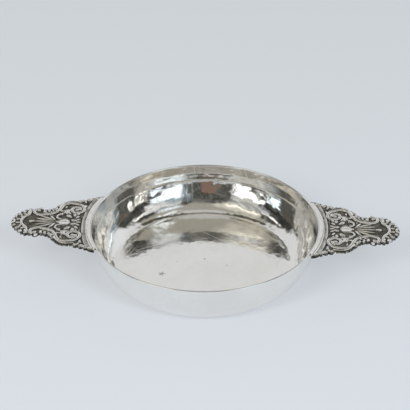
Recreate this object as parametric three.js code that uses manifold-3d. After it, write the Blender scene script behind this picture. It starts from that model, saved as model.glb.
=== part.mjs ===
// A shallow round silver porringer (ecuelle) with two flat cast ears.
// Millimetres, +Z up. The origin is on the table under the middle of the bowl, and the ears lie along X.
import * as THREE from 'three';
import { mergeVertices } from 'three/addons/utils/BufferGeometryUtils.js';
import Module from 'manifold-3d';

const wasm = await Module();
wasm.setup();

// Bowl, raised from one sheet.
const rimRadius = 87.5;
const bowlHeight = 36;
const wall = 1.1;
const edgeThickness = 1.2;     // rim edge, a little thicker than the wall
const lipHeight = 13.3;        // lip, from the neck to the rim
const lipFlare = 1.9;          // how far the lip's inside leans out over its height
const lipLean = 17;            // degrees from upright, at the rim
const floorRadius = 66;        // where the floor turns up into the wall
const floorRise = 3;           // the floor's middle stands this much above its edge
const floorSharpness = 1.3;    // 1 is an even dome, more keeps the middle flat
const coveSquareness = 1.9;    // 2 is an ellipse, less is a softer turn
const coveTurn = 55;           // degrees of that ellipse's quarter, from the floor to the wall's foot
const wallFoot = 14.3;         // height at which the straight wall begins
const wallLean = 22.5;         // degrees from upright, from the wall's foot to the neck
const restWidth = 4;           // flat ring that the bowl stands on
const bowlSides = 64;

// Ears, cast flat and joined to the outside of the lip.
const earReach = 60.5;         // from the rim to the tip
const earDrop = 0.3;           // the ear's top lies this much under the rim
const plateThickness = 1.5;    // the ear's ground
const reliefHeight = 1.2;      // the ribbons and pearls above the ground
const leafHeight = 1.15;       // the leaves above the ground
const rootHalfWidth = 37.6;    // half the straight width across the root's corners
const rootBand = 6;            // plain band beside the rim, at its widest
const cornerBand = 1.6;        // the same at the root's corners
const filletOffset = 3.4;      // raised thread on the band, from the rim, at the middle
const filletCornerOffset = 1.8;
const filletInset = 2;         // the thread stops this far short of the corners
const seatGap = 0.3;           // solder gap between ear and lip
const ribbonWidth = 2.6;
const collarWidth = 2.2;       // the ribbon across the tip
const ribbonGroove = 0.55;     // depth between the ribbon's two raised edges
const ribbonEdge = 0.35;       // width of each raised edge's outer slope
const ribbonSlope = 0.2;       // height of that slope
const threadRadius = 0.75;
const pearlRadius = 1.3;

// Solder seams, under the ears in the corner with the lip.
const seamLeg = 1.7;
const seamInset = 6;           // the seam stops this far short of the root's corners

const deg = Math.PI / 180;
const edgeCentre = new THREE.Vector2(rimRadius - edgeThickness / 2, bowlHeight - edgeThickness / 2);
const lipEnd = new THREE.Vector2(-Math.cos(lipLean * deg), Math.sin(lipLean * deg))
  .multiplyScalar(edgeThickness / 2)
  .add(edgeCentre);
const neckRadius = lipEnd.x - lipFlare;
const neckHeight = bowlHeight - lipHeight;
const footRadius = neckRadius - Math.tan(wallLean * deg) * (neckHeight - wallFoot);
const earTop = bowlHeight - earDrop;
const groundTop = earTop - reliefHeight;
const earBottom = groundTop - plateThickness;

const silver = (color, roughness) => new THREE.MeshStandardMaterial({ color, roughness, metalness: 1 });

// Bowl profile, as points (radius, height).

function floorHeight(r) {
  return wall + (floorRise * (1 + Math.cos(Math.PI * (r / floorRadius) ** floorSharpness))) / 2;
}

function floorPoints(count) {
  return Array.from({ length: count }, (_, i) => {
    const r = ((floorRadius - restWidth) * i) / count;
    return new THREE.Vector2(r, floorHeight(r));
  });
}

function covePoints(count) {
  const across = (turn) => Math.sin(turn) ** (2 / coveSquareness);
  const up = (turn) => 1 - Math.cos(turn) ** (2 / coveSquareness);
  const width = (footRadius - floorRadius) / across(coveTurn * deg);
  const height = (wallFoot - wall) / up(coveTurn * deg);
  return Array.from({ length: count + 1 }, (_, i) => {
    const turn = (i / count) * coveTurn * deg;
    return new THREE.Vector2(floorRadius + width * across(turn), wall + height * up(turn));
  });
}

// The lip leans out evenly and bends a little more towards the rim.
function lipPoint(q) {
  const height = lipEnd.y - neckHeight;
  const bend = (Math.tan(lipLean * deg) * height) / lipFlare - 1;
  return new THREE.Vector2(neckRadius + lipFlare * (q + bend * (q * q - q)), neckHeight + height * q);
}

function lipPoints(count) {
  return Array.from({ length: count }, (_, i) => lipPoint((i + 1) / count));
}

// The same line, moved out of the bowl by a distance square to it.
function offsetLine(points, distance) {
  return points.map((point, i) => {
    const before = points[Math.max(i - 1, 0)];
    const after = points[Math.min(i + 1, points.length - 1)];
    const along = after.clone().sub(before).normalize();
    return new THREE.Vector2(point.x + along.y * distance, point.y - along.x * distance);
  });
}

// Half round over the rim, from the inside to the outside.
function rimEdge(count) {
  const start = Math.PI - lipLean * deg;
  return Array.from({ length: count - 1 }, (_, i) => {
    const turn = start - ((i + 1) / count) * Math.PI;
    const spoke = new THREE.Vector2(Math.cos(turn), Math.sin(turn));
    return spoke.multiplyScalar(edgeThickness / 2).add(edgeCentre);
  });
}

const insideLine = [...covePoints(9), new THREE.Vector2(neckRadius, neckHeight), ...lipPoints(4)];

// The outside above the resting ring. It thickens up the lip, from the wall to the rim's edge.
const outsideLine = offsetLine(insideLine, 1).map((outwards, i) => {
  const up = THREE.MathUtils.clamp((insideLine[i].y - neckHeight) / (lipEnd.y - neckHeight), 0, 1);
  return insideLine[i].clone().lerp(outwards, THREE.MathUtils.lerp(wall, edgeThickness, up));
});

function lathe(points, sides) {
  return new THREE.LatheGeometry(points, sides).rotateX(90 * deg);
}

function bowlGeometry() {
  const restStart = floorRadius - restWidth;
  const floor = floorPoints(6);
  const points = [
    ...floor,
    new THREE.Vector2(restStart, floorHeight(restStart)),
    ...insideLine,
    ...rimEdge(4),
    ...outsideLine.slice(1).reverse(),
    new THREE.Vector2(floorRadius, 0),
    new THREE.Vector2(restStart, 0),
    ...floor.map((point) => new THREE.Vector2(point.x, point.y - wall)).reverse(),
  ];
  return lathe(points.reverse(), bowlSides);
}

// Outside radius of the bowl at a height, for everything that seats on it.
function outsideRadiusAt(z) {
  const above = outsideLine.findIndex((point) => point.y >= z);
  if (above < 0) return rimRadius;
  const [low, high] = [outsideLine[Math.max(above, 1) - 1], outsideLine[Math.max(above, 1)]];
  return THREE.MathUtils.mapLinear(z, low.y, high.y, low.x, high.x);
}

// Solids, joined and cut.

function solid(geometry) {
  const plain = geometry.clone();
  plain.deleteAttribute('normal');
  plain.deleteAttribute('uv');
  const merged = mergeVertices(plain, 1e-4);
  const vertProperties = new Float32Array(merged.attributes.position.array);
  const triVerts = new Uint32Array(merged.index.array);
  return new wasm.Manifold(new wasm.Mesh({ numProp: 3, vertProperties, triVerts }));
}

function geometryOf(manifold) {
  const { vertProperties, triVerts } = manifold.getMesh();
  const geometry = new THREE.BufferGeometry();
  geometry.setAttribute('position', new THREE.BufferAttribute(vertProperties, 3));
  geometry.setIndex(new THREE.BufferAttribute(triVerts, 1));
  return geometry;
}

const joined = (solids) => solids.reduce((sum, next) => sum.add(next));

// Ear drawing: distance out from the rim, then distance across from the ear's middle line.

const at = (out, across) => new THREE.Vector2(rimRadius + out, across);
const mirrored = (points) => points.map((point) => new THREE.Vector2(point.x, -point.y));

const rootCorner = new THREE.Vector2(Math.sqrt((rimRadius + cornerBand) ** 2 - rootHalfWidth ** 2), rootHalfWidth);

// Leaf lobes round one half of the outline, each a curve by its control point to its end.
const outlineLobes = [
  [-2.0, 37.2, 0.5, 32.8],
  [4.0, 35.4, 6.5, 31.0],
  [9.8, 34.6, 11.5, 31.4],
  [16.0, 34.2, 17.0, 29.6],
  [24.4, 31.4, 25.8, 24.4],
  [26.3, 20.4, 28.0, 19.2],
  [31.0, 20.9, 32.1, 16.6],
  [35.5, 18.9, 37.1, 15.8],
  [42.0, 21.2, 43.3, 16.4],
  [45.5, 18.4, 46.7, 16.2],
  [50.1, 18.8, 51.1, 14.2],
  [56.2, 15.2, 54.9, 9.6],
  [60.2, 8.8, 58.0, 4.2],
  [61.4, 3.8, earReach, 0],
];

// Opening on each side between the root band, the wing and the volute.
const piercing = [[3.9, 27.4], [7.6, 25.8], [5.9, 20.2]];

// One side's ribbon: out of the volute, round the shoulder, and in an S to the curl near the tip.
const voluteCentre = [11.7, 17.2];
const voluteTurns = 0.95;
const voluteRadii = [2.5, 5.2];
const ribbonRoute = [
  [8.2, 22.6], [12.2, 26.0], [17.5, 27.3], [22.2, 26.2], [24.3, 22.4], [24.5, 18.4], [26.0, 14.2],
  [29.2, 11.2], [33.8, 9.6], [38.6, 8.9], [42.4, 10.0], [44.0, 13.0], [42.8, 15.2],
];

// Collar across the tip, drawn from one side to the middle.
const collarRoute = [[47.6, 15.8], [47.8, 11.8], [48.7, 8.2], [51.4, 5.0], [52.9, 1.8]];

// Leaves and petals on one side: centre out and across, length, width, and its turn in degrees.
const leaves = [
  // Palmette fan.
  [37.4, 1.6, 14, 2.5, 1],
  [33.0, 4.9, 12.6, 3.0, 25],
  [28.8, 6.8, 9.0, 2.7, 48],
  // Bud, and the small cross behind it.
  [18.0, 3.5, 7.6, 5.4, 12],
  [12.0, 1.7, 4.6, 1.9, 45],
  [9.0, 1.7, 4.6, 1.9, -45],
  // Wing beside the root's corner.
  [-1.0, 34.6, 7.0, 3.2, 152],
  [2.9, 31.6, 7.4, 3.4, 140],
  [9.4, 30.6, 6.6, 3.2, 112],
  [13.2, 30.4, 6.4, 3.0, 66],
  // Sprig outside the ribbon.
  [30.0, 17.6, 6.4, 2.6, 66],
  [34.4, 15.8, 5.4, 2.6, 58],
  [40.8, 17.4, 5.8, 2.4, 72],
  // Spray round the tip.
  [50.9, 13.0, 6.4, 2.8, 66],
  [53.0, 9.6, 7.0, 3.0, 46],
  [55.4, 6.2, 7.0, 3.0, 32],
  [57.2, 2.1, 7.0, 3.2, 12],
];

// Half daisy under the shoulder.
const daisy = { out: 16.6, across: 15.2, petals: 5, reach: 4.0, length: 5.6, width: 2.5, from: -72, to: 64 };

const pearls = [[11.7, 17.2], [37.8, 14.2], [42.2, 12.9]];

// Small C beside the bud, and the two round bosses on the middle line.
const innerCurl = { out: 23.0, across: 7.2, radius: 3.2, from: -75, to: 80 };
const budNode = { out: 22.7, radius: 2.3 };
const fanKnop = { out: 45.0, radius: 2.0 };

function outlineShape() {
  const half = (side) => outlineLobes.map(([cu, cv, u, v]) => [at(cu, side * cv), at(u, side * v)]);
  const shape = new THREE.Shape();
  shape.moveTo(rimRadius - rootBand, -rootHalfWidth / 2);
  shape.lineTo(rootCorner.x, -rootCorner.y);
  half(-1).forEach(([control, end]) => shape.quadraticCurveTo(control.x, control.y, end.x, end.y));
  const back = half(1);
  for (let i = back.length - 1; i >= 0; i -= 1) {
    const end = i > 0 ? back[i - 1][1] : rootCorner;
    shape.quadraticCurveTo(back[i][0].x, back[i][0].y, end.x, end.y);
  }
  shape.lineTo(rimRadius - rootBand, rootHalfWidth / 2);
  shape.closePath();
  for (const side of [1, -1]) {
    const corners = piercing.map(([u, v]) => at(u, side * v));
    shape.holes.push(new THREE.Path(corners));
  }
  return shape;
}

function plate(shape, bottom, top, curveSegments) {
  const options = { depth: top - bottom, bevelEnabled: false, curveSegments };
  return new THREE.ExtrudeGeometry(shape, options).translate(0, 0, bottom);
}

// The plain band beside the rim, a crescent that runs out at the root's corners.
function rootBandShape() {
  const outer = new THREE.Vector2(rimRadius + rootBand, 0);
  const middle = (outer.lengthSq() - rootCorner.lengthSq()) / (2 * (outer.x - rootCorner.x));
  const radius = outer.x - middle;
  const spread = Math.atan2(rootCorner.y, rootCorner.x - middle);
  const shape = new THREE.Shape();
  shape.moveTo(rimRadius - rootBand, -rootHalfWidth / 2);
  shape.absarc(middle, 0, radius, -spread, spread, false);
  shape.lineTo(rimRadius - rootBand, rootHalfWidth / 2);
  shape.closePath();
  return shape;
}

function sweep(route, section, steps, height) {
  const path = new THREE.CatmullRomCurve3(route.map((p) => new THREE.Vector3(p.x, p.y, height)));
  return new THREE.ExtrudeGeometry(section, { steps, extrudePath: path, bevelEnabled: false });
}

// Section of a swept strip: x points down, y across.
function threadSection(radius) {
  const points = Array.from({ length: 6 }, (_, i) => {
    const turn = (i / 6) * 2 * Math.PI;
    return new THREE.Vector2(radius * Math.cos(turn), radius * Math.sin(turn));
  });
  return new THREE.Shape(points);
}

function ribbonSection(width) {
  const half = width / 2;
  const foot = reliefHeight + plateThickness / 2;
  const crest = half - ribbonEdge;
  const points = [
    [foot, -half], [foot, half], [ribbonSlope, half], [0, crest],
    [ribbonGroove, 0], [0, -crest], [ribbonSlope, -half],
  ];
  return new THREE.Shape(points.map(([down, across]) => new THREE.Vector2(down, across)));
}

function voluteRoute() {
  const [from, to] = voluteRadii;
  const steps = 12;
  return Array.from({ length: steps }, (_, i) => {
    const part = i / steps;
    const turn = (150 - 360 * voluteTurns * (1 - part)) * deg;
    const radius = THREE.MathUtils.lerp(from, to, part);
    return at(voluteCentre[0] + radius * Math.cos(turn), voluteCentre[1] - radius * Math.sin(turn));
  });
}

function leaf([out, across, length, width, turn], side) {
  return new THREE.SphereGeometry(1, 6, 4)
    .rotateZ(90 * deg)
    .scale(length / 2, width / 2, leafHeight)
    .rotateZ(side * turn * deg)
    .translate(rimRadius + out, side * across, groundTop);
}

function pearl(out, across, radius) {
  return new THREE.SphereGeometry(radius, 8, 4)
    .rotateX(90 * deg)
    .scale(1, 1, reliefHeight / radius)
    .translate(rimRadius + out, across, groundTop);
}

function daisyPetals(side) {
  return Array.from({ length: daisy.petals }, (_, i) => {
    const turn = THREE.MathUtils.lerp(daisy.from, daisy.to, i / (daisy.petals - 1));
    const out = daisy.out + daisy.reach * Math.cos(turn * deg);
    const across = daisy.across + daisy.reach * Math.sin(turn * deg);
    return leaf([out, across, daisy.length, daisy.width, turn], side);
  });
}

function arcRoute(curl, side, steps) {
  return Array.from({ length: steps + 1 }, (_, i) => {
    const turn = THREE.MathUtils.lerp(curl.from, curl.to, i / steps) * deg;
    const across = curl.across + curl.radius * Math.sin(turn);
    return at(curl.out + curl.radius * Math.cos(turn), side * across);
  });
}

function sideRelief(side) {
  const across = (points) => (side > 0 ? points : mirrored(points));
  const ribbon = across([...voluteRoute(), ...ribbonRoute.map(([u, v]) => at(u, v))]);
  return [
    sweep(ribbon, ribbonSection(ribbonWidth), 46, earTop),
    sweep(arcRoute(innerCurl, side, 6), threadSection(threadRadius), 8, earTop - threadRadius),
    ...leaves.map((sizes) => leaf(sizes, side)),
    ...daisyPetals(side),
    ...pearls.map(([out, v]) => pearl(out, side * v, pearlRadius)),
  ];
}

// Everything that the lip and its solder gap take up, for cutting the ear's seat.
function seatCutter() {
  const heights = Array.from({ length: 7 }, (_, i) => THREE.MathUtils.lerp(earBottom - 1, earTop + 1, i / 6));
  const side = heights.map((z) => new THREE.Vector2(outsideRadiusAt(z) + seatGap, z));
  return lathe([new THREE.Vector2(0, earBottom - 1), ...side, new THREE.Vector2(0, earTop + 1)], 3 * bowlSides);
}

function earGeometry() {
  const collar = collarRoute.map(([u, v]) => at(u, v));
  const spread = Math.asin((rootHalfWidth - filletInset) / (rimRadius + filletOffset));
  const thread = Array.from({ length: 15 }, (_, i) => {
    const turn = THREE.MathUtils.lerp(-spread, spread, i / 14);
    const offset = THREE.MathUtils.lerp(filletOffset, filletCornerOffset, (turn / spread) ** 2);
    return new THREE.Vector2(Math.cos(turn), Math.sin(turn)).multiplyScalar(rimRadius + offset);
  });
  const pieces = [
    plate(outlineShape(), earBottom, groundTop, 4),
    plate(rootBandShape(), groundTop - plateThickness / 2, earTop - threadRadius / 2, 16),
    sweep(thread, threadSection(threadRadius), 22, earTop - threadRadius),
    sweep([...collar, ...mirrored(collar).reverse()], ribbonSection(collarWidth), 20, earTop),
    pearl(budNode.out, 0, budNode.radius),
    pearl(fanKnop.out, 0, fanKnop.radius),
    ...sideRelief(1),
    ...sideRelief(-1),
  ];
  return geometryOf(joined(pieces.map(solid)).subtract(solid(seatCutter())));
}

// A hollow-faced bead of solder in the corner between the lip and the ear's underside.
function seamGeometry() {
  const top = earBottom - seatGap;
  const foot = top - seamLeg;
  const corners = [
    new THREE.Vector2(outsideRadiusAt(foot) + seatGap, foot),
    new THREE.Vector2(outsideRadiusAt(foot) + seatGap + seamLeg / 3, foot + seamLeg / 4),
    new THREE.Vector2(outsideRadiusAt(top) + seatGap + seamLeg, top),
    new THREE.Vector2(outsideRadiusAt(top) + seatGap, top),
  ];
  const steps = 20;
  const halfAngle = Math.asin((rootHalfWidth - seamInset) / rimRadius);
  const positions = [];
  const indices = [];
  for (let i = 0; i <= steps; i += 1) {
    const turn = THREE.MathUtils.lerp(-halfAngle, halfAngle, i / steps);
    corners.forEach((c) => positions.push(c.x * Math.cos(turn), c.x * Math.sin(turn), c.y));
  }
  for (let i = 0; i < steps; i += 1) {
    for (let k = 0; k < 4; k += 1) {
      const a = i * 4 + k;
      const b = i * 4 + ((k + 1) % 4);
      indices.push(a, b + 4, b, a, a + 4, b + 4);
    }
  }
  const last = steps * 4;
  indices.push(0, 1, 2, 0, 2, 3, last, last + 2, last + 1, last, last + 3, last + 2);
  const geometry = new THREE.BufferGeometry();
  geometry.setAttribute('position', new THREE.Float32BufferAttribute(positions, 3));
  geometry.setIndex(indices);
  return geometry;
}

const ecuelle = new THREE.Group();

const bowl = new THREE.Mesh(bowlGeometry(), silver(0xcfcdc8, 0.12));
bowl.name = 'bowl';
ecuelle.add(bowl);

const ear = earGeometry();
const seam = seamGeometry();
for (const [side, turn] of [['right', 0], ['left', 180]]) {
  const handle = new THREE.Group();
  handle.rotation.z = turn * deg;
  const earMesh = new THREE.Mesh(ear, silver(0x8d8a84, 0.3));
  earMesh.name = `ear_${side}`;
  const seamMesh = new THREE.Mesh(seam, silver(0xb9b7b2, 0.35));
  seamMesh.name = `solder_seam_${side}`;
  handle.add(earMesh, seamMesh);
  ecuelle.add(handle);
}

export default ecuelle;
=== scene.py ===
"""An ecuelle: a raised silver bowl with two cast and pierced ears, soldered under its lip.

Everything is in metres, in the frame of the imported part: the bowl stands on z = 0 and the ears lie along X.
"""

import math
from types import SimpleNamespace

import bpy
import numpy as np
from bpy.props import FloatProperty, FloatVectorProperty, IntProperty, PointerProperty
from mathutils import Matrix, Vector
from mathutils.geometry import delaunay_2d_cdt


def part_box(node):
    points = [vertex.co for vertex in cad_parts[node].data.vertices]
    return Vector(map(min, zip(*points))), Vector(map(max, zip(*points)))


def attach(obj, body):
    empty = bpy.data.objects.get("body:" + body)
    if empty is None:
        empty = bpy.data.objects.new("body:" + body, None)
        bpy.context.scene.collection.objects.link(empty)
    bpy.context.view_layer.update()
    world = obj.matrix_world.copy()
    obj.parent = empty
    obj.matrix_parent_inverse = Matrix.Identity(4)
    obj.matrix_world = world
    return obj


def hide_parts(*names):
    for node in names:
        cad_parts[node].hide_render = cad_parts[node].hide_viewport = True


bl_info = {
    "name": "Ecuelle",
    "version": (1, 0, 0),
    "blender": (4, 5, 0),
    "location": "3D View > Sidebar > Ecuelle",
    "description": "A raised silver bowl with two cast and pierced ears",
    "category": "Object",
}

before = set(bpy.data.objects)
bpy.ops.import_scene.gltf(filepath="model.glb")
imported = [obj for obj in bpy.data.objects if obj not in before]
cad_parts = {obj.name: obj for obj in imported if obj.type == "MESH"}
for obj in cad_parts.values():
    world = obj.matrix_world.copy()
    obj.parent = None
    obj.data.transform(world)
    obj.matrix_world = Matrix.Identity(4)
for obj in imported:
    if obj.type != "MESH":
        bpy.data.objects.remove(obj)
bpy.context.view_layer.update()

MM = 0.001
BODY = "root"

# From the frame: the bowl's rim, how far the ears reach from it, and where the solder runs.
RIM_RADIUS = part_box("bowl")[1].x
RIM_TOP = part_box("bowl")[1].z
EAR_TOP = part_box("ear_right")[1].z
EAR_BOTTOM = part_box("ear_right")[0].z
EAR_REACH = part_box("ear_right")[1].x - RIM_RADIUS
SEAM_BOTTOM, SEAM_TOP = (corner.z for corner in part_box("solder_seam_right"))
SEAM_HALF_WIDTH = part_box("solder_seam_right")[1].y


def length(name, about, millimetres):
    default = millimetres * MM
    return FloatProperty(name=name, description=about, default=default, unit="LENGTH", precision=5)


def angle(name, about, degrees):
    return FloatProperty(name=name, description=about, default=math.radians(degrees), subtype="ANGLE")


def share(name, about, default):
    return FloatProperty(name=name, description=about, default=default, min=0)


def colour(name, about, default):
    return FloatVectorProperty(name=name, description=about, default=default, subtype="COLOR", min=0, max=1)


class BowlSizes(bpy.types.PropertyGroup):
    """Section and hammering of the raised bowl"""

    wall: length("Wall", "Thickness of the sheet", 1.1)
    edge: length("Edge", "Thickness of the rim's rounded edge", 1.2)
    lip_height: length("Lip height", "Height of the lip, from the neck to the rim", 13.3)
    lip_flare: length("Lip flare", "How far the lip leans out over its height", 1.9)
    lip_lean: angle("Lip lean", "Angle of the lip from upright, at the rim", 10)
    floor_radius: length("Floor radius", "Where the floor turns up into the wall", 66)
    floor_rise: length("Floor rise", "Height of the floor's middle over its edge", 3)
    floor_sharpness: share("Floor sharpness", "1 is an even dome, more keeps the middle flat", 1.3)
    cove_squareness: share("Cove squareness", "2 is an ellipse, less is a softer turn", 1.9)
    cove_turn: angle("Cove turn", "How much of that ellipse's quarter runs from floor to wall", 55)
    wall_foot: length("Wall foot", "Height at which the cove ends and the straight wall begins", 14.3)
    wall_lean: angle("Wall lean", "Angle of the straight wall from upright, up to the neck", 22.5)
    sides: IntProperty(name="Sides", description="Steps round the bowl", default=400, min=16)
    step: length("Step", "Distance between rings along the section", 1.05)
    blow_size: length("Blow size", "Distance between hammer blows", 8)
    blow_depth: length("Blow depth", "Depth of one hammer blow", 0.17)
    wave_size: length("Wave size", "Length of the sheet's slow waves", 24)
    wave_depth: length("Wave depth", "Depth of the sheet's slow waves", 0.22)
    floor_work: share("Floor work", "How much of the hammering shows on the floor", 0.12)
    lip_work: share("Lip work", "How much of it shows on the lip", 0.35)
    outside_work: share("Outside work", "How much of it shows outside", 0.4)
    crease: length("Crease", "Height of the two soft rings that edge the lip", 0.07)


class EarSizes(bpy.types.PropertyGroup):
    """Sizes of the cast ears and their relief"""

    relief: length("Relief", "Height of ribbons and pearls over the ground", 1.2)
    leaf_height: length("Leaf height", "Height of the leaves over the ground", 1.15)
    root_half_width: length("Root half width", "Half the width across the root's corners", 37.6)
    corner_band: length("Corner band", "Plain band beside the rim, at the root's corners", 1.6)
    root_band: length("Root band", "Raised plain band beside the rim, at its widest", 2.7)
    root_step: length("Root step", "Lower plain band beyond it, from the rim, at its widest", 6.6)
    thread_radius: length("Thread radius", "Radius of the round threads", 0.62)
    curl_radius: length("Curl radius", "Radius of the round curls beside the bud", 1)
    ribbon_width: length("Ribbon width", "Width of the scrolled ribbons", 2.5)
    collar_width: length("Collar width", "Width of the ribbon across the tip", 2.2)
    ribbon_groove: length("Ribbon groove", "Depth between the ribbon's raised edges", 0.4)
    grain: length("Grain", "Distance between points of the carved face", 0.26)
    vein_size: length("Vein size", "Size of the small scrolls chased into the ground", 2.6)
    vein_height: length("Vein height", "Height of those scrolls", 0.55)


class SilverLooks(bpy.types.PropertyGroup):
    """Colours of the silver and of what the years left on it"""

    silver: colour("Silver", "Clean silver", (0.93, 0.92, 0.90))
    toned: colour("Toned silver", "Silver with a light brown tone", (0.76, 0.72, 0.65))
    worn: colour("Worn silver", "Cast silver, softly rubbed", (0.95, 0.935, 0.90))
    ground: colour("Ground", "Dull silver between the raised forms", (0.25, 0.235, 0.20))
    dark: colour("Dark hollows", "Old polish and sulphide in the deepest hollows", (0.028, 0.025, 0.020))
    solder: colour("Solder", "Hard solder, greyer than the silver", (0.70, 0.69, 0.67))
    tone_amount: share("Tone amount", "How much of the light brown tone shows on the bowl", 0.22)
    mark_amount: share("Mark amount", "How dark the marks on the floor are", 0.75)
    polish: share("Polish", "Roughness of the bowl's clean silver", 0.07)
    scratch_dulling: share("Scratch dulling", "Roughness that a scratch adds", 0.14)
    facet_depth: length("Facet depth", "Height of the small facets in the bowl's finish", 0.055)


class StudioLooks(bpy.types.PropertyGroup):
    """Floor, light and view"""

    floor: colour("Floor", "Pale cool grey paper", (0.66, 0.69, 0.725))
    floor_glow: share("Floor glow", "How much of the paper's colour shows without light", 0.65)
    lamp_power: FloatProperty(
        name="Lamp power", description="Power of each soft box", default=14, min=0, unit="POWER"
    )
    distance: length("Camera distance", "From the middle of the rim", 1300)
    elevation: angle("Camera elevation", "Line of sight over the table", 33.58)
    azimuth: angle("Camera azimuth", "Turn of the view round the bowl", 2.7)


# Node trees.


def label(key):
    """The name of a socket, from its name in this script."""
    return key.replace("_", " ").title()


def arithmetic(operation):
    """Two methods that add a Math node, with the value left and right of the operator."""
    return (
        lambda self, other: self.nodes.math(operation, self, other),
        lambda self, other: self.nodes.math(operation, other, self),
    )


class Value:
    """What a node puts out. Arithmetic with it, where it is a number, adds Math nodes."""

    __add__, __radd__ = arithmetic("ADD")
    __sub__, __rsub__ = arithmetic("SUBTRACT")
    __mul__, __rmul__ = arithmetic("MULTIPLY")
    __truediv__, __rtruediv__ = arithmetic("DIVIDE")

    def __init__(self, nodes, socket):
        self.nodes = nodes
        self.socket = socket


class Made:
    """A node, whose outputs are values by name or number."""

    def __init__(self, nodes, node):
        self.nodes = nodes
        self.node = node

    def __getitem__(self, key):
        return Value(self.nodes, self.node.outputs[key])


class Nodes:
    """Adds nodes to a tree and joins them as they are made."""

    def __init__(self, tree):
        self.tree = tree

    def set(self, socket, value):
        if isinstance(value, Value):
            self.tree.links.new(value.socket, socket)
        else:
            socket.default_value = value

    def add(self, kind, inputs=None, **settings):
        node = self.tree.nodes.new(kind)
        for name, value in settings.items():
            setattr(node, name, value)
        for key, value in (inputs or {}).items():
            self.set(node.inputs[key], value)
        return Made(self, node)

    def fill(self, name, **inputs):
        """Sets the inputs of a node that the tree already has."""
        node = self.tree.nodes[name]
        for key, value in inputs.items():
            self.set(node.inputs[label(key)], value)
        return Made(self, node)

    def math(self, operation, first, second=0.0, clamp=False):
        return self.add("ShaderNodeMath", {0: first, 1: second}, operation=operation, use_clamp=clamp)[0]

    def vector_math(self, operation, first, second=(0, 0, 0), output="Vector"):
        return self.add("ShaderNodeVectorMath", {0: first, 1: second}, operation=operation)[output]

    def dot(self, first, second):
        return self.vector_math("DOT_PRODUCT", first, second, "Value")

    def parts(self, vector):
        made = self.add("ShaderNodeSeparateXYZ", {0: vector})
        return [made[axis] for axis in "XYZ"]

    def point(self, x=0.0, y=0.0, z=0.0):
        return self.add("ShaderNodeCombineXYZ", {0: x, 1: y, 2: z})[0]

    def ramp(self, value, low, high, to_low=0.0, to_high=1.0):
        inputs = {"Value": value, "From Min": low, "From Max": high, "To Min": to_low, "To Max": to_high}
        return self.add("ShaderNodeMapRange", inputs, interpolation_type="SMOOTHSTEP")["Result"]

    def mix(self, factor, first, second):
        """The second colour over the first. A colour is a value or three numbers."""
        first, second = (tint if isinstance(tint, Value) else (*tint, 1.0) for tint in (first, second))
        inputs = {"Factor": factor, "A": first, "B": second}
        return self.add("ShaderNodeMix", inputs, data_type="RGBA")["Result"]

    def noise(self, vector, scale, detail=2.0):
        return self.add("ShaderNodeTexNoise", {"Vector": vector, "Scale": scale, "Detail": detail})[0]

    def cells(self, vector, scale, smoothness, randomness=1.0):
        """Distance from the middle of soft cells."""
        inputs = {"Vector": vector, "Scale": scale, "Smoothness": smoothness, "Randomness": randomness}
        return self.add("ShaderNodeTexVoronoi", inputs, feature="SMOOTH_F1")["Distance"]

    def bump(self, height, depth):
        return self.add("ShaderNodeBump", {"Strength": 1.0, "Distance": depth, "Height": height})[0]

    def attribute(self, name, kind="FLOAT"):
        return self.add("GeometryNodeInputNamedAttribute", {"Name": name}, data_type=kind)[0]

    def noted(self, geometry, name, value):
        """The geometry with a number for each point under that name."""
        inputs = {"Geometry": geometry, "Name": name, "Value": value}
        return self.add("GeometryNodeStoreNamedAttribute", inputs, domain="POINT")[0]

    def shape_of(self, obj):
        return self.add("GeometryNodeObjectInfo", {"Object": obj})["Geometry"]

    def group(self, name, **inputs):
        """What a shader group puts out. The finishes share it, and it is built when first used."""
        tree = bpy.data.node_groups.get(name) or SHADER_GROUPS[name](name)
        inputs = {label(key): value for key, value in inputs.items()}
        return self.add("ShaderNodeGroup", inputs, node_tree=tree)[0]


def new_tree(name, kind, output, output_type, inputs):
    """A node group with named inputs: its builder, its inputs as values, and its output."""
    tree = bpy.data.node_groups.new(name, kind)
    for key, socket_type in inputs.items():
        tree.interface.new_socket(label(key), in_out="INPUT", socket_type="NodeSocket" + socket_type)
    tree.interface.new_socket(output, in_out="OUTPUT", socket_type="NodeSocket" + output_type)
    nodes = Nodes(tree)
    made = nodes.add("NodeGroupInput")
    given = SimpleNamespace(**{key: made[label(key)] for key in inputs})
    return nodes, given, nodes.add("NodeGroupOutput").node.inputs[output]


def new_geometry_tree(name, **inputs):
    inputs = {"geometry": "Geometry", **inputs, "material": "Material"}
    return new_tree(name, "GeometryNodeTree", "Geometry", "Geometry", inputs)


def new_shader_group(name, output, **inputs):
    return new_tree(name, "ShaderNodeTree", output, "Float", {"vector": "Vector", **inputs})


def finish_tree(nodes, geometry, material, result):
    """Ends a tree with smooth, real geometry in its material."""
    smooth = nodes.add("GeometryNodeSetShadeSmooth", {"Geometry": geometry})[0]
    real = nodes.add("GeometryNodeRealizeInstances", {"Geometry": smooth})[0]
    nodes.set(result, nodes.add("GeometryNodeSetMaterial", {"Geometry": real, "Material": material})[0])
    return nodes.tree


def grown(obj, tree, **values):
    """The plain mesh that a Geometry Nodes tree makes of an object. Values go to the inputs of that name."""
    modifier = obj.modifiers.new(tree.name, "NODES")
    modifier.node_group = tree
    sockets = {item.name: item.identifier for item in tree.interface.items_tree if item.in_out == "INPUT"}
    for key, value in values.items():
        modifier[sockets[label(key)]] = value
    depsgraph = bpy.context.evaluated_depsgraph_get()
    mesh = bpy.data.meshes.new_from_object(obj.evaluated_get(depsgraph), depsgraph=depsgraph)
    obj.modifiers.remove(modifier)
    return mesh


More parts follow.
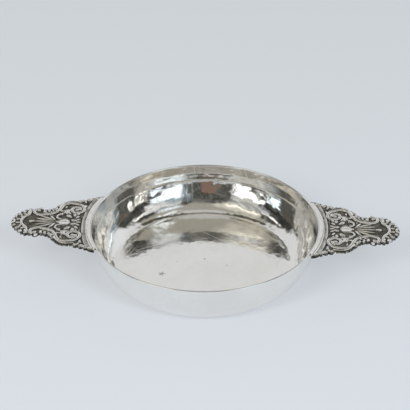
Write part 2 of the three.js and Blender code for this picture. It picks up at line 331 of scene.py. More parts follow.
def sheet_tree():
    """Turns a section into a closed round vessel and hammers its skin inwards."""
    nodes, given, result = new_geometry_tree(
        "Raised and hammered sheet",
        sides="Int", blow_size="Float", blow_depth="Float", wave_size="Float", wave_depth="Float",
    )
    section = given.geometry
    rings = nodes.add("GeometryNodeAttributeDomainSize", {"Geometry": section})["Point Count"]
    grid = nodes.add("GeometryNodeMeshGrid", {"Vertices X": given.sides + 1, "Vertices Y": rings})["Mesh"]
    index = nodes.add("GeometryNodeInputIndex")[0]
    ring, column = (
        nodes.add("FunctionNodeIntegerMath", {0: index, 1: rings}, operation=operation)[0]
        for operation in ("MODULO", "DIVIDE_FLOOR")
    )

    def from_section(value, kind):
        """A value of the section's point from which a ring is turned."""
        inputs = {"Geometry": section, "Value": value, "Index": ring}
        return nodes.add("GeometryNodeSampleIndex", inputs, data_type=kind)[0]

    place = nodes.add("GeometryNodeInputPosition")[0]
    radius, _, height = nodes.parts(from_section(place, "FLOAT_VECTOR"))
    turn = column / given.sides * math.tau
    turned = nodes.point(radius * nodes.math("COSINE", turn), radius * nodes.math("SINE", turn), height)
    lathe = nodes.add("GeometryNodeSetPosition", {"Geometry": grid, "Position": turned})[0]
    worked = nodes.attribute("worked")
    lathe = nodes.noted(lathe, "worked", from_section(worked, "FLOAT"))
    closed = nodes.add("GeometryNodeMergeByDistance", {"Geometry": lathe, "Distance": 1e-6})[0]

    blow = nodes.cells(place, 1 / given.blow_size, smoothness=0.35, randomness=0.9)
    dish = nodes.math("SUBTRACT", 1.0, blow * blow * 2, clamp=True)
    wave = nodes.noise(place, 1 / given.wave_size, detail=1.0)
    depth = (dish * given.blow_depth + wave * given.wave_depth) * worked
    normal = nodes.add("GeometryNodeInputNormal")["Normal"]
    inwards = nodes.add("ShaderNodeVectorMath", {0: normal, "Scale": depth * -1}, operation="SCALE")[0]
    hammered = nodes.add("GeometryNodeSetPosition", {"Geometry": closed, "Offset": inwards})[0]
    return finish_tree(nodes, hammered, given.material, result)


def strip_tree():
    """Draws a smooth curve through a path's points and sweeps a section along it."""
    nodes, given, result = new_geometry_tree("Swept strip", section="Object", step="Float")
    line = nodes.add("GeometryNodeMeshToCurve", {"Mesh": given.geometry})[0]
    curve = nodes.add("GeometryNodeCurveSplineType", {"Curve": line}, spline_type="CATMULL_ROM")[0]
    even = nodes.add("GeometryNodeResampleCurve", {"Curve": curve, "Length": given.step}, mode="LENGTH")[0]
    level = nodes.add("GeometryNodeSetCurveNormal", {"Curve": even}, mode="Z_UP")[0]
    section = nodes.add("GeometryNodeMeshToCurve", {"Mesh": nodes.shape_of(given.section)})[0]
    inputs = {"Curve": level, "Profile Curve": section, "Fill Caps": True}
    swept = nodes.add("GeometryNodeCurveToMesh", inputs)[0]
    return finish_tree(nodes, swept, given.material, result)


def scatter_tree():
    """Sets one shape on every point, turned and sized by the point's own attributes."""
    nodes, given, result = new_geometry_tree("Set on points", shape="Object")
    spin = nodes.point(z=nodes.attribute("turn"))
    inputs = {
        "Points": given.geometry,
        "Instance": nodes.shape_of(given.shape),
        "Rotation": nodes.add("FunctionNodeEulerToRotation", {0: spin})[0],
        "Scale": nodes.attribute("size", "FLOAT_VECTOR"),
    }
    copies = nodes.add("GeometryNodeInstanceOnPoints", inputs)[0]
    return finish_tree(nodes, copies, given.material, result)


def carve_tree():
    """Lifts a plate's face on to the relief above it, and notes how high and how sunken each point is."""
    nodes, given, result = new_geometry_tree(
        "Carved face", relief="Object", ground="Float", height="Float", vein_size="Float", vein_height="Float"
    )
    reach = 10 * MM
    place = nodes.add("GeometryNodeInputPosition")[0]
    x, y, _ = nodes.parts(place)
    rays = {
        "Target Geometry": nodes.shape_of(given.relief),
        "Source Position": nodes.point(x, y, given.ground + reach),
        "Ray Direction": (0, 0, -1),
        "Ray Length": reach,
    }
    ray = nodes.add("GeometryNodeRaycast", rays)
    lifted = (nodes.parts(ray["Hit Position"])[2] - given.ground) * ray["Is Hit"]
    field = nodes.noise(place, 1 / given.vein_size, detail=0.0)
    scroll = nodes.ramp(nodes.math("ABSOLUTE", field - 0.5), 0.0, 0.075, 1.0, 0.0)
    scroll = scroll * nodes.attribute("chased") * given.vein_height
    face = nodes.attribute("face")
    geometry = nodes.noted(given.geometry, "lift", nodes.math("MAXIMUM", lifted, scroll) * face)

    lift = nodes.attribute("lift")
    soft, around = (
        nodes.add("GeometryNodeBlurAttribute", {"Value": lift, "Iterations": times})[0] for times in (1, 14)
    )
    geometry = nodes.noted(geometry, "relief", soft / given.height + (1 - face) * 0.8)
    geometry = nodes.noted(geometry, "hollow", (around - soft) / given.height)
    up = nodes.point(z=soft * face)
    carved = nodes.add("GeometryNodeSetPosition", {"Geometry": geometry, "Offset": up})[0]
    return finish_tree(nodes, carved, given.material, result)


# Finishes.

# Scratches: turn in degrees, length and width in millimetres.
SCRATCHES = [(25, 45, 1.1), (68, 33, 0.8), (-40, 38, 0.9), (100, 55, 1.25)]
# Marks on the floor: where, from above, in millimetres, then radius and how far the rays reach.
FLOOR_MARKS = [(0, 0, 0.9, 0.0), (-32.0, -19.5, 2.0, 0.8), (17.5, -7.5, 0.6, 0.0), (-21.0, -4.0, 0.5, 0.3)]
MARK_RAYS = 5


def planishing_group(name):
    """Height of small hammer facets and the polisher's ripple."""
    nodes, given, result = new_shader_group(name, "Height", facet_size="Float")
    per_facet = 1 / given.facet_size
    facet = nodes.cells(given.vector, per_facet, smoothness=0.25)
    ripple = nodes.noise(given.vector, per_facet * 1.7)
    nodes.set(result, facet * facet + ripple * 0.35)
    return nodes.tree


def scratch_group(name):
    """Mask of fine straight scratches in a few directions."""
    nodes, given, result = new_shader_group(name, "Mask")
    lines = 0.0
    for turn, long, wide in SCRATCHES:
        inputs = {
            "Vector": given.vector,
            "Rotation": (0, 0, math.radians(turn)),
            "Scale": (long * MM, wide * MM, long * MM),
        }
        mapped = nodes.add("ShaderNodeMapping", inputs, vector_type="TEXTURE")[0]
        line = nodes.ramp(nodes.noise(mapped, 1.0, detail=1.0), 0.66, 0.74)
        lines = nodes.math("MAXIMUM", lines, line)
    nodes.set(result, lines)
    return nodes.tree


def mark_group(name):
    """A small dark mark of making or use on the bowl's floor. Vector runs in metres from the mark."""
    nodes, given, result = new_shader_group(name, "Mask", radius="Float", rays="Float")
    x, y, _ = nodes.parts(given.vector)
    away = nodes.vector_math("LENGTH", given.vector, output="Value")
    rays = nodes.math("COSINE", nodes.math("ARCTAN2", y, x) * MARK_RAYS) * given.rays
    reach = nodes.math("MAXIMUM", given.radius * (1 + rays), 0.1 * MM)
    nodes.set(result, nodes.ramp(away / reach, 0.45, 1.0, 1.0, 0.0))
    return nodes.tree


def tone_group(name):
    """Mask of the uneven tone that old silver takes between polishings."""
    nodes, given, result = new_shader_group(name, "Mask", patch_size="Float")
    per_patch = 1 / given.patch_size
    broad = nodes.noise(given.vector, per_patch, detail=3.0)
    fine = nodes.noise(given.vector, per_patch * 9)
    nodes.set(result, nodes.ramp(broad * 0.75 + fine * 0.25, 0.38, 0.66))
    return nodes.tree


SHADER_GROUPS = {
    "Planishing": planishing_group,
    "Fine scratches": scratch_group,
    "Floor mark": mark_group,
    "Uneven tone": tone_group,
}


def new_material(name):
    """A material, its builder and the place on the object."""
    material = bpy.data.materials.new(name)
    material.use_nodes = True
    nodes = Nodes(material.node_tree)
    return material, nodes, nodes.add("ShaderNodeTexCoord")["Object"]


def bowl_silver(looks, bowl):
    """Mirror-bright raised silver with hammer facets, hair scratches, a few marks and a faint tone."""
    material, nodes, place = new_material("bowl silver")
    tone = nodes.group("Uneven tone", vector=place, patch_size=30 * MM)
    scratches = nodes.group("Fine scratches", vector=place)
    facets = nodes.group("Planishing", vector=place, facet_size=4.5 * MM)
    line, marks = inside_line(bowl), 0.0
    for x, y, radius, rays in FLOOR_MARKS:
        spot = (x * MM, y * MM, float(np.interp(math.hypot(x, y) * MM, line[:, 0], line[:, 1])))
        from_spot = nodes.vector_math("SUBTRACT", place, spot)
        mark = nodes.group("Floor mark", vector=from_spot, radius=radius * MM, rays=rays)
        marks = nodes.math("MAXIMUM", marks, mark)
    clean = nodes.mix(tone * looks.tone_amount, looks.silver, looks.toned)
    nodes.fill(
        "Principled BSDF",
        base_color=nodes.mix(marks * looks.mark_amount, clean, looks.ground),
        roughness=tone * 0.035 + scratches * looks.scratch_dulling + looks.polish,
        metallic=1.0,
        normal=nodes.bump(facets - (scratches * 0.16 + marks), looks.facet_depth),
    )
    return material


def ear_silver(looks):
    """Cast silver, dark in its hollows and rubbed bright on its crests."""
    material, nodes, place = new_material("ear silver")
    relief, hollow = (
        nodes.add("ShaderNodeAttribute", attribute_name=name)["Fac"] for name in ("relief", "hollow")
    )
    tone = nodes.group("Uneven tone", vector=place, patch_size=6 * MM)
    bright = nodes.ramp(relief - hollow * 1.1 - tone * 0.1, 0.30, 0.74)
    sunken = nodes.ramp(hollow, 0.04, 0.19)
    ground = nodes.mix(tone * 0.6, looks.ground, looks.dark)
    matting = nodes.noise(place, 2400.0) * (1.15 - bright)
    nodes.fill(
        "Principled BSDF",
        base_color=nodes.mix(sunken, nodes.mix(bright, ground, looks.worn), looks.dark),
        roughness=nodes.ramp(bright, 0.0, 1.0, 0.42, 0.20),
        metallic=nodes.ramp(sunken, 0.0, 1.0, 1.0, 0.6),
        normal=nodes.bump(matting, 0.09 * MM),
    )
    return material


def solder_silver(looks):
    """Grey hard solder, a little pitted, with a brown bloom."""
    material, nodes, place = new_material("solder")
    tone = nodes.group("Uneven tone", vector=place, patch_size=4 * MM)
    nodes.fill(
        "Principled BSDF",
        base_color=nodes.mix(tone, looks.solder, looks.toned),
        roughness=nodes.ramp(tone, 0.0, 1.0, 0.28, 0.45),
        metallic=1.0,
        normal=nodes.bump(nodes.noise(place, 1500.0, detail=3.0), 0.08 * MM),
    )
    return material


def paper(looks):
    """Plain matt paper. Part of its colour shows without light, so that shadows on it stay soft."""
    material, nodes, place = new_material("floor paper")
    shade = nodes.mix(nodes.noise(place, 900.0) * 0.05, looks.floor, [0.94 * part for part in looks.floor])
    plain = nodes.fill("Principled BSDF", base_color=shade, roughness=0.75)[0]
    glow = nodes.add("ShaderNodeEmission", {"Color": shade})[0]
    path = nodes.add("ShaderNodeLightPath")
    seen = nodes.math("MAXIMUM", path["Is Camera Ray"], path["Is Glossy Ray"])
    both = nodes.add("ShaderNodeMixShader", {0: seen * looks.floor_glow, 1: plain, 2: glow})[0]
    nodes.fill("Material Output", surface=both)
    return material


# Small helpers for meshes and pieces.


def placed(name, data):
    """A new object in the scene."""
    obj = bpy.data.objects.new(name, data)
    bpy.context.scene.collection.objects.link(obj)
    return obj


def mesh_object(name, vertices, edges=(), faces=(), **attributes):
    """A mesh object in the scene. Attributes hold one number, or three, for each vertex."""
    mesh = bpy.data.meshes.new(name)
    mesh.from_pydata([tuple(map(float, v)) for v in vertices], edges, faces)
    for attribute, values in attributes.items():
        values = np.asarray(values, np.float32)
        kind, key = ("FLOAT", "value") if values.ndim == 1 else ("FLOAT_VECTOR", "vector")
        mesh.attributes.new(attribute, kind, "POINT").data.foreach_set(key, values.ravel())
    return placed(name, mesh)


def chain(count, closed=False):
    """Edges that join points in order."""
    return [(i, (i + 1) % count) for i in range(count if closed else count - 1)]


def quads(rows, columns, closed=False, start=0):
    """Faces between rows of points, which are numbered along each row. Closed rows join their ends."""
    faces = []
    for row in range(rows - 1):
        for i, j in chain(columns, closed):
            a, b = start + row * columns + i, start + row * columns + j
            faces.append((a, a + columns, b + columns, b))
    return faces


def at_height(points, z=0.0):
    return np.column_stack([points, np.full(len(points), z)])


def polar(turns, radii=1.0):
    """Points round the origin."""
    turns, radii = np.broadcast_arrays(turns, radii)
    return np.column_stack([radii * np.cos(turns), radii * np.sin(turns)])


def arc(centre, radius, low, high, steps):
    return np.asarray(centre) + polar(np.linspace(low, high, steps), radius)


def turned_shape(name, line, sides):
    """A line of (radius, height) turned round Z. It starts on the axis."""
    turns = np.linspace(0, math.tau, sides, endpoint=False)
    rings = [at_height(polar(turns, radius), z) for radius, z in line[1:]]
    points = np.vstack([(0, 0, line[0][1]), *rings])
    fan = [(0, 1 + a, 1 + b) for a, b in chain(sides, closed=True)]
    return mesh_object(name, points, [], fan + quads(len(rings), sides, closed=True, start=1))


def removed(*objects):
    for obj in objects:
        bpy.data.objects.remove(obj)


def piece_from(mesh, name, node):
    """A finished piece: it rides on the part's one body and stands for a node of the frame."""
    mesh.name = name
    piece = placed(name, mesh)
    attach(piece, BODY)
    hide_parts(node)


def pair_from(mesh, name, node):
    """The piece on the right and, half a turn on, its twin on the left."""
    twin = mesh.copy()
    twin.transform(Matrix.Rotation(math.pi, 4, "Z"))
    for side, side_mesh in (("right", mesh), ("left", twin)):
        piece_from(side_mesh, f"{name}_{side}", f"{node}_{side}")


# The bowl.

# Where the hammering grows and fades, in millimetres from the floor's edge, from the rim and from the neck.
FLOOR_FADE = (-3, 5)
RIM_FADE = 3
NECK_FADE = (-2, 3)
CREASE_WIDTH = 0.9 * MM


def even_line(points, step):
    """The same line with points about one step apart."""
    points = np.asarray(points, float)
    lengths = np.hypot(*np.diff(points, axis=0).T)
    along = np.concatenate([[0], np.cumsum(lengths)])
    places = np.linspace(0, along[-1], max(2, round(along[-1] / step) + 1))
    return np.column_stack([np.interp(places, along, points[:, k]) for k in range(2)])


def lip_end(bowl):
    """Where the lip's inside meets the rim's rounded edge, and that edge's centre."""
    half = bowl.edge / 2
    centre = np.array([RIM_RADIUS - half, RIM_TOP - half])
    return centre + half * np.array([-math.cos(bowl.lip_lean), math.sin(bowl.lip_lean)]), centre


def inside_line(bowl):
    """The bowl's inside, from the middle of the floor to the rim's edge, as (radius, height)."""
    end, _ = lip_end(bowl)
    neck_radius, neck_height = end[0] - bowl.lip_flare, RIM_TOP - bowl.lip_height
    fine = 160
    r = np.linspace(0, bowl.floor_radius, fine)
    dome = 1 + np.cos(np.pi * (r / bowl.floor_radius) ** bowl.floor_sharpness)
    floor = np.column_stack([r, bowl.wall + bowl.floor_rise * dome / 2])
    turn = np.linspace(0, bowl.cove_turn, fine)[1:]
    power = 2 / bowl.cove_squareness
    across, up = np.sin(turn) ** power, 1 - np.cos(turn) ** power
    foot_radius = neck_radius - math.tan(bowl.wall_lean) * (neck_height - bowl.wall_foot)
    cove = np.column_stack([
        bowl.floor_radius + (foot_radius - bowl.floor_radius) * across / across[-1],
        bowl.wall + (bowl.wall_foot - bowl.wall) * up / up[-1],
    ])
    q = np.linspace(0, 1, fine)[1:]
    height = end[1] - neck_height
    bend = math.tan(bowl.lip_lean) * height / bowl.lip_flare - 1
    lip = np.column_stack([neck_radius + bowl.lip_flare * (q + bend * (q**2 - q)), neck_height + height * q])
    return np.vstack([floor, cove, lip])


def outside_line(bowl, inside):
    """The outside, one wall's thickness away, a little thicker up the lip, and never under the table."""
    along = np.gradient(inside, axis=0)
    along /= np.hypot(*along.T)[:, None]
    outwards = np.column_stack([along[:, 1], -along[:, 0]])
    up = np.clip((inside[:, 1] - (RIM_TOP - bowl.lip_height)) / bowl.lip_height, 0, 1)
    line = inside + outwards * (bowl.wall + (bowl.edge - bowl.wall) * up)[:, None]
    line[0, 0] = 0
    return np.maximum(line, 0)


def creased(bowl, inside):
    """The inside with two soft rings, one at the neck and one halfway up the lip."""
    line = inside.copy()
    for down in (bowl.lip_height, bowl.lip_height / 2):
        line[:, 0] -= bowl.crease * np.exp(-(((line[:, 1] - RIM_TOP + down) / CREASE_WIDTH) ** 2))
    return line


def bowl_section(bowl):
    """The closed section from the underside's middle round the rim to the floor's middle.

    With it comes how much of the hammering shows at each point.
    """
    inside = inside_line(bowl)
    outside = even_line(outside_line(bowl, inside), bowl.step)
    inside = even_line(creased(bowl, inside), bowl.step)
    _, centre = lip_end(bowl)
    start = math.pi - bowl.lip_lean
    rim = arc(centre, bowl.edge / 2, start, start - math.pi, 9)[1:-1]
    section = np.vstack([outside, rim[::-1], inside[::-1]])
    radius, depth = section[:, 0], RIM_TOP - section[:, 1]
    turn_up = [bowl.floor_radius + part * MM for part in FLOOR_FADE]
    on_wall = np.interp(radius, turn_up, [bowl.floor_work, 1])
    lip = [0, RIM_FADE * MM, *(bowl.lip_height + part * MM for part in NECK_FADE)]
    on_lip = np.interp(depth, lip, [0, bowl.lip_work, bowl.lip_work, 1])
    worked = np.minimum(on_wall, on_lip)
    worked[: len(outside)] *= bowl.outside_work
    return section, worked


def outside_radius(bowl, z):
    """Radius of the bowl's outside at a height, for what seats on it."""
    line = outside_line(bowl, inside_line(bowl))
    line = line[line[:, 1] > bowl.wall]
    return float(np.interp(z, line[:, 1], line[:, 0]))


class ECUELLE_OT_bowl(bpy.types.Operator):
    """Raise the bowl from its section, hammer it and polish it"""

    bl_idname = "ecuelle.bowl"
    bl_label = "Bowl"

    def execute(self, context):
        bowl = context.scene.ecuelle_bowl
        section, worked = bowl_section(bowl)
        points = np.column_stack([section[:, 0], np.zeros(len(section)), section[:, 1]])
        line = mesh_object("bowl section", points, chain(len(points)), worked=worked)
        mesh = grown(
            line, sheet_tree(), sides=bowl.sides, blow_size=bowl.blow_size, blow_depth=bowl.blow_depth,
            wave_size=bowl.wave_size, wave_depth=bowl.wave_depth,
            material=bowl_silver(context.scene.ecuelle_silver, bowl),
        )
        removed(line)
        piece_from(mesh, "raised_bowl", "bowl")
        return {"FINISHED"}


# The ears. The drawing is in millimetres: distance out from the rim, then across from the middle line.

# Leaf lobes round one half of the outline, each a curve by its control point to its end.
OUTLINE_LOBES = [
    (-2.4, 37.6, -0.6, 34.6), (1.6, 36.0, 2.6, 32.6), (5.4, 35.0, 6.3, 31.2), (9.4, 33.6, 10.4, 30.4),
    (20.6, 32.6, 26.4, 23.4), (28.8, 21.9, 28.4, 19.4), (30.8, 20.2, 31.2, 17.6), (33.6, 19.2, 34.0, 16.4),
    (36.4, 18.0, 37.1, 15.8), (41.2, 21.6, 43.3, 16.4), (45.3, 18.6, 46.3, 16.2), (49.2, 19.8, 49.5, 15.6),
    (52.8, 17.8, 52.2, 13.4), (55.9, 14.6, 54.6, 10.6), (58.6, 11.4, 56.8, 7.6), (60.5, 8.2, 58.5, 4.8),
    (61.6, 4.6, 59.6, 1.9), (60.7, 1.0, EAR_REACH / MM, 0),
]
SMOOTH_LOBE = 4
# The share of its width over which the root lies on the lip.
ROOT_SHARE = 0.9
PIERCING = [(3.9, 27.4), (7.6, 25.8), (5.9, 20.2)]
VOLUTE = {"centre": (11.9, 17.4), "radii": (2.5, 5.0), "turns": (-192, 150), "steps": 14}
RIBBON_ROUTE = [
    (6.9, 15.4), (6.4, 18.8), (7.9, 22.4), (11.6, 25.0), (16.6, 26.0), (21.2, 24.8), (23.8, 21.2),
    (25.2, 17.2), (27.6, 13.4), (31.2, 10.8), (35.5, 9.3), (39.8, 9.0), (43.3, 10.6), (44.8, 13.5),
    (43.7, 15.9), (41.4, 15.5), (41.0, 13.8),
]
SHOULDER_ROUTE = [(9.6, 28.0), (13.6, 28.9), (18.0, 28.6), (21.9, 26.6), (24.6, 23.2), (26.2, 20.0)]
COLLAR_ROUTE = [(47.3, 16.6), (47.6, 12.4), (48.7, 8.6), (51.4, 5.2), (52.9, 1.8)]
# Curls beside the bud, then the root's thread: how far it lies from the rim, and how far it stops short.
INNER_CURL = {"centre": (23.2, 7.0), "radius": 3.1, "turns": (-100, 112)}
THREAD = {"offset": 3.3, "corner_offset": 2.2, "inset": 2.0}

# Leaves on one side: centre out and across, length, width, and the turn in degrees.
FAN_RIBS = [
    (35.6, 0, 19.6, 2.6, 0), (34.6, 2.7, 18.0, 2.2, 11), (33.6, 5.0, 17.0, 2.6, 25),
    (29.0, 4.8, 10.8, 3.0, 56),
]
BUD = [(20.4, 0, 10.6, 12.6, 0)]
PETALS = [
    (17.0, 8.0, 7.0, 4.6, 44), (12.6, 2.2, 6.0, 3.8, 14), (12.8, 9.6, 5.4, 3.6, 84), (9.6, 0, 5.0, 2.3, 180),
    (9.9, 3.2, 5.2, 2.4, 152), (10.6, 6.8, 5.6, 2.8, 128), (10.2, 11.0, 5.2, 2.6, 104),
]
SPRIGS = [
    (3.2, 31.4, 7.0, 3.2, 158), (6.6, 28.9, 5.4, 2.6, 70), (2.2, 33.0, 5.0, 2.4, 96),
    (20.6, 20.6, 4.6, 2.4, 100), (23.4, 15.2, 4.6, 2.4, 20), (22.6, 11.6, 4.6, 2.2, -24),
    (27.4, 18.2, 4.8, 2.3, 52), (30.2, 15.8, 4.6, 2.2, 66), (30.6, 13.0, 4.2, 2.0, 18),
    (33.4, 14.2, 4.4, 2.2, 58), (34.6, 11.8, 4.0, 2.0, 12), (36.6, 13.2, 4.2, 2.0, 48),
    (48.8, 12.8, 4.8, 2.9, 118), (50.8, 9.4, 5.2, 2.7, 26), (53.4, 6.2, 4.4, 2.7, 78),
    (55.4, 2.4, 5.0, 2.8, -12),
]
# What the leaves of the border take in turn: length, swing in degrees, fullness and share of the height.
BORDER_LEAVES = [(6.2, 34, 1.15, 1.0), (3.6, -32, 0.85, 0.75), (5.2, -8, 1.3, 0.9), (4.4, 20, 0.95, 1.0)]
# Petals spread from one place on each side, in a half round.
SHELL = {"centre": (18.6, 14.4), "petals": 6, "reach": 1.3, "length": 6.4, "width": 3.0, "turns": (-125, 105)}
# Round knobs: centre out and across, and radius.
KNOBS = [
    (11.9, 17.4, 1.9), (40.9, 14.6, 1.3), (39.9, 18.0, 1.7), (28.2, 20.2, 1.1), (24.2, 11.0, 0.9),
    (25.2, 0, 1.3), (45.6, 0, 1.9), (43.6, 0, 1.2),
]
# Leaf shapes: where it is widest, roundness, scallops, depth of its groove and the groove's width.
LEAF_SHAPES = {
    "fan rib": (0.62, 1.5, 0, 0.0, 1.0),
    "bud": (0.45, 3.4, 0, 0.16, 0.07),
    "petal": (0.58, 2.4, 0, 0.40, 0.14),
    "curled leaf": (0.56, 2.3, 2, 0.42, 0.16),
}
SCALLOP_DEPTH = 0.16
FLUTE_DEPTH = 0.1
# The root's plain bands: their rise as a share of the relief, and over how far the lower one runs out.
BAND_RISE = 0.75
STEP_RISE = 0.55
STEP_END = 4.5
# A ribbon's section: where its raised edges begin, how far they round off, and its spread at the foot.
RIBBON = {"bead": 0.74, "round_off": 0.45, "spread": 1.12, "foot": 1.5}
# The carved face's points: distance between rows over that along a row, and how near the edge they come.
ROW_PITCH = 0.866
EDGE_GAP = 0.6
# The chased ground starts softly past the root's step, and is weaker near the tip, inside the collar.
CHASING_FADE = 0.5 * MM
CALM_GROUND = {"out": (40, 52), "half_width": 7, "share": 0.6}


def plan(points):
    """One or more points of the drawing, in metres."""
    return np.array([RIM_RADIUS, 0]) + MM * np.asarray(points)


def both_sides(points):
    """One side's points and their mirror image across the middle line."""
    return [points, points * [1, -1]]


def root_corner(ear):
    radius = RIM_RADIUS + ear.corner_band
    return np.array([math.sqrt(radius**2 - ear.root_half_width**2), ear.root_half_width])


def ear_loops(ear, seat):
    """The ear's outline, then its two openings, as closed loops. Seat is the lip's radius under the ear."""
    half = [root_corner(ear)]
    for *control, out, across in OUTLINE_LOBES:
        start, control, end = half[-1], plan(control), plan((out, across))
        for t in np.linspace(0, 1, 9)[1:]:
            half.append((1 - t) ** 2 * start + 2 * t * (1 - t) * control + t**2 * end)
    foot = math.asin(min(half[0][1] / seat, 1) * ROOT_SHARE)
    outline = np.vstack([half, (np.array(half) * [1, -1])[-2::-1], arc((0, 0), seat, -foot, foot, 60)])
    return [outline, *both_sides(plan(PIERCING))]


def closed_even(loop, step):
    """A closed loop with its corners kept and its sides cut into steps."""
    result = []
    for start, end in zip(loop, np.roll(loop, -1, axis=0)):
        pieces = max(1, math.ceil(np.hypot(*(end - start)) / step))
        result.extend(start + (end - start) * t for t in np.arange(pieces) / pieces)
    return np.array(result)


def inside_loops(points, loops):
    """Which points lie inside the outline and outside its openings, by counting crossings."""
    result = np.zeros(len(points), bool)
    x, y = points.T
    for loop in loops:
        for (x1, y1), (x2, y2) in zip(loop, np.roll(loop, -1, axis=0)):
            if y1 != y2:
                crosses = (y1 > y) != (y2 > y)
                result ^= crosses & (x < x1 + (y - y1) * (x2 - x1) / (y2 - y1))
    return result


def loop_edges(loops):
    """Edges round each loop. Point numbers run through the loops."""
    start = 0
    for loop in loops:
        yield from ((start + a, start + b) for a, b in chain(len(loop), closed=True))
        start += len(loop)


def triangulated(loops, filling=()):
    """Triangles over the loops' inside. Point numbers run through the loops, then the filling."""
    points = [Vector(p) for part in (*loops, filling) for p in part]
    result = delaunay_2d_cdt(points, list(loop_edges(loops)), [], 0, 1e-9)
    faces = np.array([f for f in result[2] if len(f) == 3])
    points = np.array([tuple(p) for p in result[0]])
    return points, faces[inside_loops(points[faces].mean(axis=1), loops)]


def filling_points(ear, loops):
    """An even triangular grid inside the loops, a little away from them."""
    edge = np.vstack(loops)
    rows = np.arange(-ear.root_half_width, ear.root_half_width, ear.grain * ROW_PITCH)
    columns = np.arange(edge[:, 0].min(), edge[:, 0].max(), ear.grain)
    x, y = np.meshgrid(columns, rows)
    x = x + ear.grain / 2 * (np.arange(len(rows)) % 2)[:, None]
    filling = np.column_stack([x.ravel(), y.ravel()])
    filling = filling[inside_loops(filling, loops)]
    cell, near = 1 * MM, {}
    for point in edge:
        near.setdefault(tuple((point // cell).astype(int)), []).append(point)
    keep = []
    for point in filling:
        column, row = (point // cell).astype(int)
        around = [q for i in (-1, 0, 1) for j in (-1, 0, 1) for q in near.get((column + i, row + j), ())]
        keep.append(not around or np.min(np.hypot(*(np.array(around) - point).T)) > EDGE_GAP * ear.grain)
    return filling[keep]


def ear_plate(ear, bowl, material):
    """The uncarved ear: a fine-meshed face, plain sides and back, and a seat that follows the lip."""
    ground, bottom = EAR_TOP - ear.relief, EAR_BOTTOM
    seat = outside_radius(bowl, ground)
    loops = [closed_even(loop, ear.grain) for loop in ear_loops(ear, seat)]
    points, faces = triangulated(loops, filling_points(ear, loops))
    count = len(points)

    lower = []
    for loop in loops:
        on_seat = np.abs(np.hypot(*loop.T) - seat) < 0.02 * MM
        lower.append(np.where(on_seat[:, None], loop * outside_radius(bowl, bottom) / seat, loop))
    _, back = triangulated(lower)
    vertices = np.vstack([at_height(points, ground), at_height(np.vstack(lower), bottom)])
    sides = [(a, count + a, count + b, b) for a, b in loop_edges(loops)]
    all_faces = [*faces.tolist(), *sides, *((back + count)[:, ::-1]).tolist()]
    out = np.hypot(vertices[:, 0], vertices[:, 1]) - RIM_RADIUS
    low, high = CALM_GROUND["out"]
    calm = (out > low * MM) & (out < high * MM) & (np.abs(vertices[:, 1]) < CALM_GROUND["half_width"] * MM)
    chased = np.clip((out - ear.root_step) / CHASING_FADE, 0, 1) * np.where(calm, CALM_GROUND["share"], 1.0)
    face = np.arange(len(vertices)) < count
    plate = mesh_object("ear plate", vertices, [], all_faces, face=face, chased=chased)
    plate.data.materials.append(material)
    return plate


def leaf_shape(name):
    """A leaf one unit long, wide and high, with its vein or gutter and its scalloped edge.

    Roundness 1 gives a sharp ridge, 2 an arched back, and more a full one.
    """
    widest, roundness, scallops, groove_depth, groove_width = LEAF_SHAPES[name]
    rows, columns = 25, 15
    u = np.linspace(0, 1, rows)[:, None]
    v = np.linspace(-1, 1, columns)[None, :]
    skew = math.log(0.5) / math.log(widest)
    notches = SCALLOP_DEPTH * np.abs(np.cos(np.pi * scallops * u)) * (scallops > 0)
    width = np.sin(np.pi * u**skew) ** 0.8 * (1 - notches)
    crown = (1 - np.abs(v) ** roundness) * np.sin(np.pi * np.clip(u, 0.02, 0.98)) ** 0.45
    vein = groove_depth * np.exp(-((v / groove_width) ** 2)) * np.sin(np.pi * u) ** 0.4
    flutes = np.cos(2 * np.pi * scallops * (u - 0.12 * np.abs(v))) * np.abs(v) * (scallops > 0)
    height = crown * (1 - vein + FLUTE_DEPTH * flutes)
    x = np.broadcast_to(u - 0.5, (rows, columns))
    points = np.column_stack([x.ravel(), (0.5 * width * v).ravel(), height.ravel()])
    return mesh_object(name, points, [], quads(rows, columns))


def knob_shape():
    """Half a ball of radius one."""
    leans = np.linspace(0, math.pi / 2, 7)
    return turned_shape("knob", np.column_stack([np.sin(leans), np.cos(leans)]), 16)


def set_points(rows, height, ground):
    """Points with a turn and a size for each leaf of the list and its mirror image.

    A row may end with its leaf's share of the height.
    """
    places, turns, sizes = [], [], []
    for out, across, long, wide, turn, *high in rows:
        for side in (1, -1):
            places.append((*plan((out, side * across)), ground))
            turns.append(side * math.radians(turn))
            sizes.append((long * MM, wide * MM, height * (high or [1.0])[0]))
    return mesh_object("leaf points", places, turn=turns, size=sizes)


def border_leaves(ear):
    """A leaf in each lobe of the outline but the smooth shoulder, swinging a little one way and the other."""
    start = (root_corner(ear) - [RIM_RADIUS, 0]) / MM
    for i, lobe in enumerate(OUTLINE_LOBES[:-1]):
        control, end = np.array(lobe[:2]), np.array(lobe[2:])
        if i != SMOOTH_LOBE:
            long, swing, fullness, high = BORDER_LEAVES[i % len(BORDER_LEAVES)]
            towards, top = control - (start + end) / 2, (start + 2 * control + end) / 4
            turn = math.atan2(towards[1], towards[0]) + math.radians(swing)
            middle = top - (long / 2 - 0.1) * polar(turn)[0]
            yield *middle, long, fullness * np.hypot(*(end - start)), math.degrees(turn), high
        start = end


def shell_petals():
    """Petals that spread from one place."""
    turns = np.linspace(*SHELL["turns"], SHELL["petals"])
    places = SHELL["centre"] + polar(np.radians(turns), SHELL["reach"])
    return [(*place, SHELL["length"], SHELL["width"], turn) for place, turn in zip(places, turns)]


